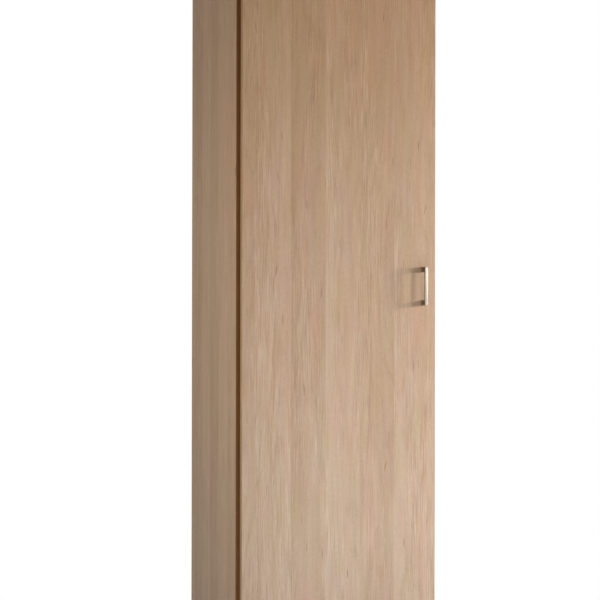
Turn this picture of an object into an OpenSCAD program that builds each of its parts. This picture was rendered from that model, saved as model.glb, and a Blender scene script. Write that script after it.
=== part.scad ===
// Tall wardrobe with one hinged door, built from coated chipboard panels.
// Origin: middle of the footprint, on the floor. +X is the handle side, +Y the back, +Z up.

/* [Carcass] */
// Width over both side panels
carcass_w = 600; // [480:10:760]
// Height of the side panels' top edge above the floor
carcass_h = 2000; // [1800:10:2300]
// Depth of a side panel with its front edge band
side_depth = 560; // [460:10:640]
// Thickness of the coated panels
panel_t = 18; // [16:0.5:20]
// Underside of the bottom panel above the floor
plinth_h = 70; // [50:5:120]
// Plinth board behind the carcass front
plinth_setback = 25; // [10:5:60]
// Gap between the plinth board and the floor
plinth_gap = 8; // [6:1:15]
// Thickness of the edge bands
edge_t = 2; // [1:0.5:3]
// Radius of the edge bands' arrises
edge_r = 1.8; // [0.5:0.1:2]

/* [Back] */
// Thickness of the back boards
back_t = 3; // [2.5:0.5:5]
// Back boards in front of the side panels' rear edge
back_inset = 12; // [8:1:25]
// Depth of the grooves that hold the back boards
groove_depth = 8; // [5:0.5:10]
// Height of the strip that joins the two back boards
strip_h = 14; // [10:1:24]

/* [Inside] */
// Clear height above the hat shelf
hat_space = 274; // [220:2:340]
// Hat shelf's front edge behind the carcass front
shelf_setback = 22; // [15:1:60]
// Middle of the clothes rail below the hat shelf
rail_drop = 52; // [40:1:80]
// Height of the oval clothes rail
rail_h = 30; // [20:1:35]
// Width of the oval clothes rail
rail_w = 15; // [10:1:20]
// Wall of the clothes rail
rail_wall = 1; // [0.8:0.1:2]
// Diameter of the shelf pins
pin_d = 5; // [4:0.5:6]
// Shelf pin holes in each row
pin_rows = 5; // [1:2:9]
// Front row of shelf pin holes behind the carcass front
pin_row_inset = 70; // [60:1:120]

/* [Door] */
// Thickness of the door with its surface
door_t = 18; // [16:0.5:22]
// Gap between the closed door and the carcass
door_gap = 2.5; // [2.2:0.1:4]
// Side panel edge that the closed door leaves bare
side_reveal = 11; // [9:0.5:12]
// Door's top edge below the carcass top
door_top_gap = 3; // [1:0.5:10]
// Door's bottom edge above the bottom panel's underside
door_bottom_gap = 3; // [1:0.5:10]

/* [Handle] */
// Distance between the two handle screws
handle_centres = 96; // [64:32:192]
// Handle's reach in front of the door
handle_reach = 28; // [24:1:40]
// Width of the handle
handle_w = 8; // [7:0.5:14]
// Depth of the grip bar
bar_d = 7; // [5:0.5:10]
// Height of each handle foot
foot_h = 15; // [8:1:20]
// Middle of the handle from the door's free edge
handle_inset = 38; // [25:1:70]
// Middle of the handle above the floor
handle_z = 1035; // [850:5:1250]

/* [Hinges] */
// Number of hinges
hinge_count = 4; // [3:1:5]
// Outer hinges from the door's ends
hinge_end = 100; // [80:5:160]
// Hinge pin from the door's hinged edge
pin_edge = 7; // [6.5:0.1:7.2]
// Hinge pin in front of the door's rear face
pin_depth = 8; // [7.5:0.1:8.5]
// Diameter of the hinge cup
cup_d = 35; // [35:1:40]
// Depth of the hinge cup's bore
cup_depth = 12.5; // [12:0.1:13.5]
// Wood between the cup's bore and the door's edge
cup_edge = 3; // [2.5:0.1:3]
// Distance between the cup's two screws
cup_screws = 48; // [45:1:52]
// Thickness of the hinge arm's steel
arm_t = 2; // [1.5:0.1:2.2]
// Height of the hinge arm above the side panel
arm_lift = 9; // [8:0.5:12]
// Mounting plate's screws behind the carcass front
plate_inset = 37; // [37:1:45]

/* [Fittings] */
// Corner fittings from the panels' front and rear edges
fitting_inset = 60; // [50:5:100]
// Diameter of the cam locks
cam_d = 15; // [12:1:16]
// Middle of a cam lock from the panel's end
cam_reach = 34; // [24:1:40]
// Distance from a cam bolt to the wooden dowel beside it
dowel_step = 32; // [20:4:48]
// Diameter of the wooden dowels
dowel_d = 8; // [6:1:10]
// Diameter of the glides under the side panels
glide_d = 16; // [12:1:16]
// Height of the glides
glide_h = 5; // [3:1:8]
// Distance between the two wall brackets
bracket_span = 400; // [300:10:420]
// Height of the wall brackets above the carcass
bracket_h = 32; // [28:1:60]
// Hole for the wall screw
wall_hole_d = 6; // [4:0.5:8]

/* [Hidden] */
$fn = 48;

wood = [0.72, 0.58, 0.46];
dark = [0.27, 0.16, 0.09];
board = [0.55, 0.42, 0.30];
steel = [0.75, 0.75, 0.77];

// Clearances
fit = 0.1;
play = 0.3;
// Room that a blind bore leaves past the end of its screw, and a groove past its board
end_room = 1;
// Cutting shapes reach this far past a face
over = 1;

// Planes of the carcass
total_depth = side_depth + door_gap + door_t + handle_reach;
x_out = carcass_w / 2;
x_in = x_out - panel_t;
y_back = total_depth / 2;
y_front = y_back - side_depth;
back_y = y_back - back_inset - back_t;
rear_edge_y = back_y - play;
inner_top = carcass_h - panel_t;

// Planes of the door
door_w = carcass_w - 2 * side_reveal;
door_x = x_out - side_reveal;
door_back = y_front - door_gap;
door_front = door_back - door_t;
door_z0 = plinth_h + door_bottom_gap;
door_z1 = carcass_h - door_top_gap;
door_h = door_z1 - door_z0;
handle_x = door_x - handle_inset;

// Boards between the sides
plinth_ys = [y_front + plinth_setback, rear_edge_y - panel_t];
shelf_side_gap = 0.8;
shelf_back_gap = 2;
shelf_half_w = x_in - shelf_side_gap;
board_half_w = x_in + groove_depth - end_room;
strip_web = 1.2;

// Levels inside
shelf_top = inner_top - hat_space;
shelf_z = shelf_top - panel_t;
rail_z = shelf_z - rail_drop;
rail_y = (y_front + back_y) / 2;
strip_z = (door_z0 + door_z1) / 2;

// Shelf pins
pin_in = 10;
pin_out = 9;
pad_t = 3;
pad_w = 12;
pad_sink = 1;
collar_rim = 1.5;
collar_t = 1.5;
hole_pitch = 32;
pin_z = shelf_z - pad_t;
pin_ys = [y_front + pin_row_inset, back_y - pin_row_inset];

// Corner fittings: [middle of the panel's thickness, side that the cam opens to]
levels = [[plinth_h + panel_t / 2, -1], [carcass_h - panel_t / 2, 1]];
fitting_ys = [y_front + fitting_inset, back_y - fitting_inset];
bolt_thread_d = 5;
bolt_in = 11;
bolt_d = 6;
bolt_bore_d = 8;
bolt_collar_l = 1.5;
bolt_neck_d = 4;
bolt_neck_l = 3;
bolt_head_d = 6.8;
bolt_head_l = 3.5;
bolt_tip = 1.5;
bolt_chamfer = 1;
cam_depth = 12.5;
cam_pocket_d = 7.6;
cam_pocket_past = 3;
cam_recess_w = 9;
cam_recess_depth = 1;
cap_t = 1.2;
cap_rim = 1.25;
cap_peg_l = 0.7;
cap_peg_gap = 1;
dowel_in = 10;
dowel_out = 20;
dowel_spots = concat(
    [for (level = levels, i = [0, 1])
        [fitting_ys[i] + (i == 0 ? 1 : -1) * dowel_step, level[0]]],
    [for (y = plinth_ys) [y + panel_t / 2, (plinth_gap + plinth_h) / 2]]
);

// Nails through the back boards
nail_d = 1.6;
nail_head_d = 3.6;
nail_head_top_d = 2.8;
nail_head_h = 1;
nail_l = 20;
nail_count = 5;
nail_inset = 50;

// Clothes rail sockets
socket_t = 3;
socket_wall = 2;
socket_l = 14;
socket_rim = 6;
socket_ear = 9;
socket_screw_z = rail_h / 2 + socket_ear;
screw_d = 3.5;
screw_head_d = 7;
screw_head_h = 2;
screw_l = 13;

// Screw heads: what the top and the cross recess take of the head
head_top_share = 0.72;
recess_share = 0.5;
recess_depth_share = 0.6;
recess_arm_share = 0.25;

// Glides and wall brackets
glide_inset = 60;
glide_chamfer = 3;
glide_round = 0.8;
glide_foot_h = 1;
glide_rim_h = 1.2;
spike_d = 3;
spike_l = 12;
spike_tip_d = 0.8;
spike_tip_l = 2;
bracket_w = 30;
bracket_t = 2;
bracket_leg = 62;
bracket_corner = 5;
bracket_screw_inset = 12;
bracket_screw_step = 18;
bracket_screw_ys = [for (i = [0, 1])
    y_back - bracket_leg + bracket_screw_inset + i * bracket_screw_step];
wall_hole_drop = 14;
wall_hole_z = carcass_h + bracket_h - wall_hole_drop;

// Hinge, in a frame whose origin is the middle of the pin
hinge_x = -door_x + pin_edge;
hinge_y = door_back - pin_depth;
hinge_zs = [for (i = [0 : hinge_count - 1])
    door_z0 + hinge_end + i * (door_h - 2 * hinge_end) / (hinge_count - 1)];
side_face = -x_in - hinge_x;
front_plane = y_front - hinge_y;
pin_r = 1.25;
pin_l = 15.4;
eye_r = 2.1;
neck_w = 10;
neck_reach = 13;
neck_rise = 1;
neck_taper = 6;
bend_r = 3;
bend_steps = 6;
base_w = 15;
cheek_t = 1.2;
cup_wall = 0.6;
cup_floor = 0.8;
flange_t = 1.2;
flange_rim = 1.5;
cup_mid = cup_edge + cup_d / 2 - pin_edge;
cup_bottom = pin_depth - cup_depth;
wing_shift = 6;
wing_w = 15;
wing_d = 13;
wing_corner = 6;
wing_mid = cup_mid + wing_shift;
lug_t = 1.7;
lug_w = 6;
lug_back = 0.3;
lug_top = 1.2;
pin_seat = 0.02;
plate_y = front_plane + plate_inset;
arm_x = side_face + arm_lift;
arm_start = 8;
arm_tail = 22;
arm_y0 = front_plane + arm_start;
arm_y1 = plate_y + arm_tail;
plate_t = 2.5;
plate_w = 14;
plate_l = 52;
plate_corner = 6;
plate_screw_z = 16;
block_w = 2 * (base_w / 2 - cheek_t - play);
block_h = arm_lift - arm_t / 2 - play;
block_front = 16;
block_rear = 18;
block_y0 = plate_y - block_front;
block_y1 = plate_y + block_rear;
euro_d = 5;
euro_l = 11;
euro_head_d = 8;
euro_head_h = 2.2;
fix_head_h = 2.5;
fix_screw_step = 11;
side_head_d = 6.5;
side_head_h = 1.5;
side_screw_step = 9;
arm_screw_room = 3;
fix_screw_y = plate_y + fix_screw_step;
side_screw_y = plate_y - side_screw_step;
slot_l = 4;
cheek_slope = 4;
cheek_gap = 1;
cheek_foot = side_face + plate_t + cheek_gap;
cup_screw_l = 11;
cup_screw_d = 3.5;
cup_screw_head_d = 7;
cup_screw_head_h = 1.8;

// Handle's corners and screws, and the door's soft pads
handle_corner_r = 3;
handle_screw_d = 4;
handle_screw_in = 11;
handle_screw_head_d = 8;
handle_screw_head_h = 2.5;
handle_hole_play = 1;
bumper_d = 6;
bumper_top_d = 4;
bumper_inset = 60;

// Repeats its children for the left and the right end
module both_ends() {
    for (side = [0, 1]) mirror([side, 0, 0]) children();
}

// Rectangle from its low to its high corner, in the plane of a panel
module slab(low, high) {
    translate(low) cube(high - low);
}

// Flat strip with two rounded outer corners: length along x, from y = 0 out to y = -edge_t
module band_profile(length) {
    r = min(edge_r, edge_t - 0.1);
    translate([-length / 2, -edge_t + r]) square([length, edge_t - r]);
    intersection() {
        translate([-length / 2, -edge_t]) square([length, edge_t]);
        union() {
            translate([-length / 2 + r, -edge_t]) square([length - 2 * r, edge_t]);
            for (s = [-1, 1]) translate([s * (length / 2 - r), -edge_t + r]) circle(r);
        }
    }
}

// Oval with its long axis along y
module oval(w, h) {
    square([w, h - w], center = true);
    for (s = [-1, 1]) translate([0, s * (h - w) / 2]) circle(d = w);
}

// Rectangle with round corners
module soft_rectangle(w, h, r) {
    square([w - 2 * r, h], center = true);
    square([w, h - 2 * r], center = true);
    for (sx = [-1, 1], sy = [-1, 1]) translate([sx * (w / 2 - r), sy * (h / 2 - r)]) circle(r);
}

// Unit normal of the stretch from a to b
function normal(a, b) = [a[1] - b[1], b[0] - a[0]] / norm(b - a);

// Offset direction at point i of a path, lengthened so that both stretches keep their thickness
function mitre(path, i) =
    let (last = len(path) - 1,
         n0 = normal(path[max(i - 1, 0)], path[max(i, 1)]),
         n1 = normal(path[min(i, last - 1)], path[min(i + 1, last)]))
    (n0 + n1) / (1 + n0 * n1);

// Points of an arc
function arc(mid, r, a0, a1, steps) =
    [for (i = [0 : steps]) let (a = a0 + (a1 - a0) * i / steps) mid + r * [cos(a), sin(a)]];

// Bent strip of sheet metal along a path in the plane
module bent_strip(path, t) {
    last = len(path) - 1;
    polygon(concat(
        [for (i = [0 : last]) path[i] + mitre(path, i) * t / 2],
        [for (i = [last : -1 : 0]) path[i] - mitre(path, i) * t / 2]
    ));
}

// Cross recess cut from z = 0 downwards
module cross_recess(size, depth) {
    arm_w = size * recess_arm_share;
    for (a = [0, 90]) rotate(a)
        translate([-size / 2, -arm_w / 2, -depth]) cube([size, arm_w, depth + fit]);
}

// Screw with a domed head: the seat at z = 0, the shank pointing down
module pan_screw(d, head_d, head_h, length) {
    difference() {
        union() {
            translate([0, 0, -length]) cylinder(d = d, h = length + fit);
            cylinder(d1 = head_d, d2 = head_d * head_top_share, h = head_h);
        }
        translate([0, 0, head_h])
            cross_recess(head_d * recess_share, head_h * recess_depth_share);
    }
}

// Places its children at each corner fitting: x into the panel, +z to the cam's open side
module each_fitting() {
    for (level = levels, y = fitting_ys, side = [0, 1])
        mirror([side, 0, 0]) translate([-x_in, y, level[0]])
            mirror([0, 0, level[1] < 0 ? 1 : 0]) children();
}

module each_dowel() {
    for (spot = dowel_spots) both_ends()
        translate([-x_in, spot[0], spot[1]]) rotate([0, 90, 0]) children();
}

// Places its children at each nail: z = 0 is the board's rear face, +z points out of it
module each_nail() {
    step = 2 * (x_in - nail_inset) / (nail_count - 1);
    for (level = levels, i = [0 : nail_count - 1])
        translate([-x_in + nail_inset + i * step, back_y + back_t, level[0]])
            rotate([-90, 0, 0]) children();
}

module each_shelf_pin() {
    for (y = pin_ys) both_ends() translate([-x_in, y, pin_z - pin_d / 2]) children();
}

module each_glide() {
    for (y = [y_front + glide_inset, y_back - glide_inset])
        both_ends() translate([-x_out + panel_t / 2, y, 0]) children();
}

module each_rail_screw() {
    for (s = [-1, 1]) both_ends()
        translate([-x_in + socket_t, rail_y, rail_z + s * socket_screw_z])
            rotate([0, 90, 0]) children();
}

// Places its children at each hinge, in the hinge's frame
module each_hinge() {
    for (z = hinge_zs) translate([hinge_x, hinge_y, z]) children();
}

// Bores that the fittings need in a side panel: x = 0 is the inner face, -x goes into it
module side_bores() {
    for (level = levels, y = fitting_ys)
        translate([-x_in - bolt_in - play, y, level[0]])
            rotate([0, 90, 0]) cylinder(d = bolt_thread_d + fit, h = bolt_in + play + over);
    for (spot = dowel_spots)
        translate([-x_in - dowel_in - play, spot[0], spot[1]])
            rotate([0, 90, 0]) cylinder(d = dowel_d + fit, h = dowel_in + play + over);
    for (y = pin_ys, i = [0 : pin_rows - 1])
        translate([-x_in - pin_in - play, y,
                   pin_z - pin_d / 2 + (i - (pin_rows - 1) / 2) * hole_pitch])
            rotate([0, 90, 0]) cylinder(d = pin_d + fit, h = pin_in + play + over);
    for (s = [-1, 1])
        translate([-x_in - screw_l + socket_t - play, rail_y, rail_z + s * socket_screw_z])
            rotate([0, 90, 0]) cylinder(d = screw_d + fit, h = screw_l);
    for (y = [y_front + glide_inset, y_back - glide_inset])
        translate([-x_out + panel_t / 2, y, glide_h - over])
            cylinder(d = spike_d + fit, h = spike_l + play + over);
}

// Side panel without its front band, drawn on the left
module side_panel() {
    difference() {
        slab([-x_out, y_front + edge_t, glide_h], [-x_in, y_back, carcass_h]);
        side_bores();
        slab([-x_in - groove_depth, back_y - play / 2, glide_h - over],
             [-x_in + over, back_y + back_t + play / 2, carcass_h + over]);
    }
}

module left_side_panel() {
    color(wood) difference() {
        side_panel();
        for (z = hinge_zs, s = [-1, 1])
            translate([-x_in - euro_l - play + plate_t, hinge_y + plate_y, z + s * plate_screw_z])
                rotate([0, 90, 0]) cylinder(d = euro_d + fit, h = euro_l + over);
    }
}

module right_side_panel() {
    color(wood) mirror([1, 0, 0]) side_panel();
}

// Upright band on a side panel's front edge, drawn on the left
module side_band() {
    translate([-x_out + panel_t / 2, y_front + edge_t, glide_h])
        linear_extrude(carcass_h - glide_h) band_profile(panel_t);
}

module left_front_edge() {
    color(dark) side_band();
}

module right_front_edge() {
    color(dark) mirror([1, 0, 0]) side_band();
}

// Level panel between the sides, with its fittings' bores
module level_panel(level) {
    difference() {
        slab([-x_in, y_front + edge_t, level[0] - panel_t / 2],
             [x_in, rear_edge_y, level[0] + panel_t / 2]);
        each_fitting() {
            translate([-over, 0, 0]) rotate([0, 90, 0])
                cylinder(d = bolt_bore_d, h = cam_reach + over);
            translate([cam_reach, 0, panel_t / 2 - cam_depth])
                cylinder(d = cam_d, h = cam_depth + over);
        }
        each_dowel() dowel_bore();
        each_nail() nail_bore();
    }
}

// Hole for a dowel in the end of a board
module dowel_bore() {
    translate([0, 0, -over]) cylinder(d = dowel_d + fit, h = dowel_out + play + over);
}

// Hole for a nail through a back board and into the panel behind it
module nail_bore() {
    translate([0, 0, -nail_l - play]) cylinder(d = nail_d + 2 * fit, h = nail_l + play + over);
}

// Level band on the front edge of a panel between the sides
module level_band(half_w, y, z) {
    translate([-half_w, y, z]) rotate([0, 90, 0])
        linear_extrude(2 * half_w) band_profile(panel_t);
}

module top_panel() {
    color(wood) difference() {
        level_panel(levels[1]);
        for (s = [-1, 1], y = bracket_screw_ys)
            translate([s * bracket_span / 2, y, carcass_h + bracket_t - screw_l - play])
                cylinder(d = screw_d + fit, h = screw_l + over);
    }
}

module top_front_edge() {
    color(dark) level_band(x_in, y_front + edge_t, levels[1][0]);
}

module bottom_panel() {
    color(wood) level_panel(levels[0]);
}

module bottom_front_edge() {
    color(dark) level_band(x_in, y_front + edge_t, levels[0][0]);
}

module hat_shelf() {
    color(wood) slab([-shelf_half_w, y_front + shelf_setback + edge_t, shelf_z],
                     [shelf_half_w, back_y - shelf_back_gap, shelf_top]);
}

module hat_shelf_edge() {
    color(wood) level_band(shelf_half_w, y_front + shelf_setback + edge_t, shelf_z + panel_t / 2);
}

// Upright board between the sides, under the bottom panel
module plinth_board(y) {
    difference() {
        slab([-x_in, y, plinth_gap], [x_in, y + panel_t, plinth_h]);
        each_dowel() dowel_bore();
    }
}

module plinth_front() {
    color(wood) plinth_board(plinth_ys[0]);
}

module plinth_rear() {
    color(wood) plinth_board(plinth_ys[1]);
}

// Thin board between two levels, in the side panels' grooves
module back_board(z0, z1) {
    difference() {
        slab([-board_half_w, back_y, z0], [board_half_w, back_y + back_t, z1]);
        each_nail() nail_bore();
    }
}

module back_board_upper() {
    color(board) back_board(strip_z + strip_web / 2 + play, carcass_h - end_room);
}

module back_board_lower() {
    color(board) back_board(plinth_h + end_room, strip_z - strip_web / 2 - play);
}

module back_nails() {
    color(steel) each_nail() {
        translate([0, 0, -nail_l]) cylinder(d = nail_d, h = nail_l + fit);
        cylinder(d1 = nail_head_d, d2 = nail_head_top_d, h = nail_head_h);
    }
}

// Extruded strip with a channel for each back board
module back_joint_strip() {
    outer_t = back_t + 2 * strip_web + play;
    color("ivory") translate([-x_in + play, back_y + back_t / 2, strip_z]) rotate([90, 0, 90])
        linear_extrude(2 * (x_in - play)) difference() {
            square([outer_t, strip_h], center = true);
            for (s = [-1, 1]) translate([0, s * (strip_web / 2 + strip_h / 2)])
                square([back_t + play, strip_h], center = true);
        }
}

// Oval tube between the two sockets
module clothes_rail() {
    reach = x_in - socket_t - play;
    color(steel) translate([-reach, rail_y, rail_z]) rotate([90, 0, 90])
        linear_extrude(2 * reach) difference() {
            oval(rail_w, rail_h);
            oval(rail_w - 2 * rail_wall, rail_h - 2 * rail_wall);
        }
}

// Oval cup that carries one end of the rail, drawn on the left
module rail_socket() {
    inner_w = rail_w + 2 * play;
    inner_h = rail_h + 2 * play;
    translate([-x_in, rail_y, rail_z]) rotate([90, 0, 90]) {
        linear_extrude(socket_t) difference() {
            oval(rail_w + 2 * socket_rim, 2 * (socket_screw_z + socket_rim));
            for (s = [-1, 1]) translate([0, s * socket_screw_z]) circle(d = screw_d + 2 * fit);
        }
        translate([0, 0, socket_t - fit]) linear_extrude(socket_l - socket_t + fit) difference() {
            oval(inner_w + 2 * socket_wall, inner_h + 2 * socket_wall);
            oval(inner_w, inner_h);
        }
    }
}

module rail_sockets() {
    color(steel) both_ends() rail_socket();
}

module rail_socket_screws() {
    color(steel) each_rail_screw()
        pan_screw(screw_d, screw_head_d, screw_head_h, screw_l - end_room);
}

// Pin with a flat pad on top that carries the hat shelf
module shelf_pins() {
    color(steel) each_shelf_pin() {
        translate([-pin_in, 0, 0]) rotate([0, 90, 0]) cylinder(d = pin_d, h = pin_in + pin_out);
        rotate([0, 90, 0]) cylinder(d = pin_d + 2 * collar_rim, h = collar_t);
        translate([0, -pad_w / 2, pin_d / 2 - pad_sink]) cube([pin_out, pad_w, pad_t + pad_sink]);
    }
}

// Cam lock: drum with a pocket for the bolt's head and a cross recess
module cam_locks() {
    drum_h = cam_depth - end_room;
    color(steel) each_fitting() difference() {
        translate([cam_reach, 0, panel_t / 2 - cam_depth + fit])
            cylinder(d = cam_d - 2 * fit, h = drum_h);
        translate([cam_reach - cam_d, 0, 0]) rotate([0, 90, 0])
            cylinder(d = cam_pocket_d, h = cam_d + cam_pocket_past);
        translate([cam_reach, 0, panel_t / 2 - cam_depth + fit + drum_h])
            cross_recess(cam_recess_w, cam_recess_depth);
    }
}

// Cam bolt: thread in the side panel, shank and head in the level panel
module cam_bolts() {
    tip = cam_reach + bolt_tip;
    head_start = tip - bolt_head_l;
    neck_end = head_start - bolt_chamfer;
    neck_start = neck_end - bolt_neck_l;
    collar_r = bolt_bore_d / 2 - fit;
    color(steel) each_fitting() rotate([0, 90, 0]) rotate_extrude() polygon([
        [0, -bolt_in], [bolt_thread_d / 2, -bolt_in], [bolt_thread_d / 2, 0],
        [collar_r, 0], [collar_r, bolt_collar_l], [bolt_d / 2, bolt_collar_l],
        [bolt_d / 2, neck_start - bolt_chamfer], [bolt_neck_d / 2, neck_start],
        [bolt_neck_d / 2, neck_end], [bolt_head_d / 2, head_start],
        [bolt_head_d / 2, tip - bolt_chamfer], [bolt_neck_d / 2, tip], [0, tip]
    ]);
}

// Covers over the cam locks in the top panel
module cam_caps() {
    color(wood) for (y = fitting_ys) both_ends()
        translate([-x_in + cam_reach, y, carcass_h]) {
            cylinder(d = cam_d + 2 * cap_rim, h = cap_t);
            translate([0, 0, -cap_peg_l])
                cylinder(d = cam_d - 2 * cap_peg_gap, h = cap_peg_l + fit);
        }
}

module wood_dowels() {
    color("burlywood") each_dowel() translate([0, 0, -dowel_in])
        cylinder(d = dowel_d, h = dowel_in + dowel_out);
}

// Plastic glide with a spike up into the side panel's lower edge
module glides() {
    tip = glide_h + spike_l;
    color("dimgray") each_glide() rotate_extrude() polygon([
        [0, 0], [glide_d / 2 - glide_chamfer, 0], [glide_d / 2 - glide_round, glide_foot_h],
        [glide_d / 2, glide_h - glide_rim_h], [glide_d / 2, glide_h], [spike_d / 2, glide_h],
        [spike_d / 2, tip - spike_tip_l], [spike_tip_d / 2, tip], [0, tip]
    ]);
}

// Angle bracket that ties the wardrobe to the wall
module wall_brackets() {
    color(steel) for (s = [-1, 1]) translate([s * bracket_span / 2, 0, 0]) difference() {
        union() {
            translate([0, y_back - bracket_leg / 2, carcass_h])
                linear_extrude(bracket_t) soft_rectangle(bracket_w, bracket_leg, bracket_corner);
            slab([-bracket_w / 2, y_back - bracket_w / 2, carcass_h],
                 [bracket_w / 2, y_back, carcass_h + bracket_t]);
            translate([0, y_back, carcass_h + bracket_h / 2]) rotate([90, 0, 0])
                linear_extrude(bracket_t) soft_rectangle(bracket_w, bracket_h, bracket_corner);
            slab([-bracket_w / 2, y_back - bracket_t, carcass_h],
                 [bracket_w / 2, y_back, carcass_h + bracket_h / 2]);
        }
        for (y = bracket_screw_ys) translate([0, y, carcass_h - over])
            cylinder(d = screw_d + 2 * fit, h = bracket_t + 2 * over);
        translate([0, y_back + over, wall_hole_z]) rotate([90, 0, 0])
            cylinder(d = wall_hole_d, h = bracket_t + 2 * over);
    }
}

module wall_bracket_screws() {
    color(steel) for (s = [-1, 1], y = bracket_screw_ys)
        translate([s * bracket_span / 2, y, carcass_h + bracket_t])
            pan_screw(screw_d, screw_head_d, screw_head_h, screw_l - end_room);
}

// Cross plate with a raised block that the hinge arm straddles
module hinge_plate() {
    difference() {
        union() {
            translate([side_face, plate_y, 0]) rotate([90, 0, 90])
                linear_extrude(plate_t) soft_rectangle(plate_w, plate_l, plate_corner);
            slab([side_face, block_y0, -block_w / 2],
                 [side_face + block_h, block_y1, block_w / 2]);
        }
        for (s = [-1, 1]) translate([side_face - over, plate_y, s * plate_screw_z])
            rotate([0, 90, 0]) cylinder(d = euro_d + 2 * fit, h = plate_t + 2 * over);
        for (y = [fix_screw_y, side_screw_y]) translate([side_face + over, y, 0])
            rotate([0, 90, 0]) cylinder(d = euro_d + 2 * fit, h = block_h);
    }
}

module hinge_plates() {
    color(steel) each_hinge() hinge_plate();
}

module hinge_plate_screws() {
    color(steel) each_hinge() for (s = [-1, 1])
        translate([side_face + plate_t, plate_y, s * plate_screw_z])
            rotate([0, 90, 0]) pan_screw(euro_d, euro_head_d, euro_head_h, euro_l - end_room);
}

// Cuts that narrow the arm to its neck, with a slope where it widens again
module neck_cuts() {
    for (s = [0, 1]) mirror([0, 0, s]) translate([-arm_t, 0, 0]) rotate([90, 0, 90])
        linear_extrude(arm_t + 2 * neck_reach) polygon([
            [-2 * arm_t, neck_w / 2], [arm_y0, neck_w / 2],
            [arm_y0 + neck_taper, base_w / 2 + fit], [-2 * arm_t, base_w / 2 + fit]
        ]);
}

// Curved arm: eye on the pin, neck round the door's edge, channel over the plate
module hinge_arm() {
    path = concat(
        [[0, 0]],
        arc([neck_reach - bend_r, bend_r], bend_r, -90, 0, bend_steps),
        [[neck_reach, pin_depth + neck_rise], [arm_x, arm_y0], [arm_x, arm_y1]]
    );
    difference() {
        union() {
            translate([0, 0, -base_w / 2]) linear_extrude(base_w) bent_strip(path, arm_t);
            translate([0, 0, -neck_w / 2]) cylinder(r = eye_r, h = neck_w);
            for (s = [-1, 1]) translate([0, 0, s * (base_w - cheek_t) / 2 - cheek_t / 2])
                linear_extrude(cheek_t) polygon([
                    [arm_x, arm_y0], [arm_x - arm_t, arm_y0 + cheek_slope],
                    [cheek_foot, arm_y0 + 2 * cheek_slope],
                    [cheek_foot, arm_y1 - 2 * cheek_slope], [arm_x, arm_y1]
                ]);
        }
        neck_cuts();
        translate([0, 0, -neck_w]) cylinder(r = pin_r + fit / 2, h = 2 * neck_w);
        translate([arm_x - arm_t, fix_screw_y, 0]) rotate([90, 0, 90]) rotate(90)
            linear_extrude(2 * arm_t) oval(euro_d + 2 * fit, euro_d + slot_l);
        translate([arm_x - arm_t, side_screw_y, 0])
            rotate([0, 90, 0]) cylinder(d = euro_d + 2 * fit, h = 2 * arm_t);
    }
}

module hinge_arms() {
    color(steel) each_hinge() hinge_arm();
}

// Screw that clamps the arm to its plate
module hinge_arm_screws() {
    color(steel) each_hinge() translate([arm_x + arm_t / 2, fix_screw_y, 0])
        rotate([0, 90, 0]) pan_screw(euro_d, euro_head_d, fix_head_h, arm_lift - arm_screw_room);
}

// Screw that moves the door sideways
module hinge_side_screws() {
    color(steel) each_hinge() translate([arm_x + arm_t / 2, side_screw_y, 0])
        rotate([0, 90, 0]) pan_screw(euro_d, side_head_d, side_head_h, arm_lift - arm_screw_room);
}

// Bore for one hinge in the door's rear face, in the hinge's frame
module cup_bore() {
    translate([cup_mid, pin_depth + over, 0]) rotate([90, 0, 0])
        cylinder(d = cup_d, h = cup_depth + over);
    for (s = [-1, 1]) translate([wing_mid, pin_depth + over, s * cup_screws / 2])
        rotate([90, 0, 0]) cylinder(d = cup_screw_d + fit, h = cup_screw_l + over);
}

module door_panel() {
    color(wood) difference() {
        slab([-door_x + edge_t, door_front, door_z0 + edge_t],
             [door_x - edge_t, door_back, door_z1 - edge_t]);
        each_hinge() cup_bore();
        for (s = [-1, 1])
            translate([handle_x, door_back + over, handle_z + s * handle_centres / 2])
                rotate([90, 0, 0])
                    cylinder(d = handle_screw_d + handle_hole_play, h = door_t + 2 * over);
    }
}

// Upright band on the door's left edge: the bare side faces -x
module door_upright_band() {
    translate([-door_x + edge_t, door_front + door_t / 2, door_z0])
        rotate(-90) linear_extrude(door_h) band_profile(door_t);
}

module door_edge_left() {
    color(wood) difference() {
        door_upright_band();
        each_hinge() cup_bore();
    }
}

module door_edge_right() {
    color(wood) mirror([1, 0, 0]) door_upright_band();
}

// Level band on the door's top edge, or mirrored on its bottom edge
module door_level_band(z, up) {
    translate([-door_x + edge_t, door_front + door_t / 2, z])
        rotate([90, 0, 90]) mirror([0, up ? 1 : 0])
            linear_extrude(door_w - 2 * edge_t) band_profile(door_t);
}

module door_edge_top() {
    color(wood) door_level_band(door_z1 - edge_t, true);
}

module door_edge_bottom() {
    color(wood) door_level_band(door_z0 + edge_t, false);
}

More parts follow.
